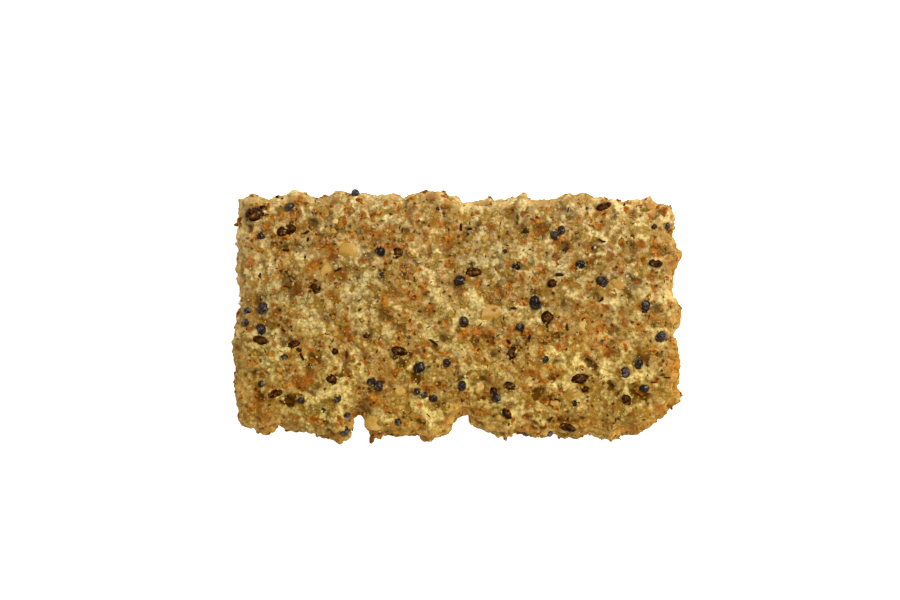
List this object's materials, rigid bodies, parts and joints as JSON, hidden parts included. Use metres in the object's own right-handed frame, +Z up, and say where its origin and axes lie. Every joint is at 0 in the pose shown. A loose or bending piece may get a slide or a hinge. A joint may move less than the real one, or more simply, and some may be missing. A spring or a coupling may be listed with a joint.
{
  "type": "seeded crispbread bar",
  "caption": "Small flat rectangular bar of baked grain dough with seeds, bran flakes and cracked grain baked in, lumpy on top, broken at its edges and flat below.",
  "frame": {"origin": "centre of the box at the face that the bar rests on", "axes": "+X along the bar's length, +Y across its width, +Z up from the rest face to the seeded top"},
  "size_m": [0.0502, 0.0286, 0.0057],
  "materials": {
    "bar": "matte baked crumb"
  },
  "bodies": {
    "root": {"bar": "bar"}
  },
  "joints": []
}
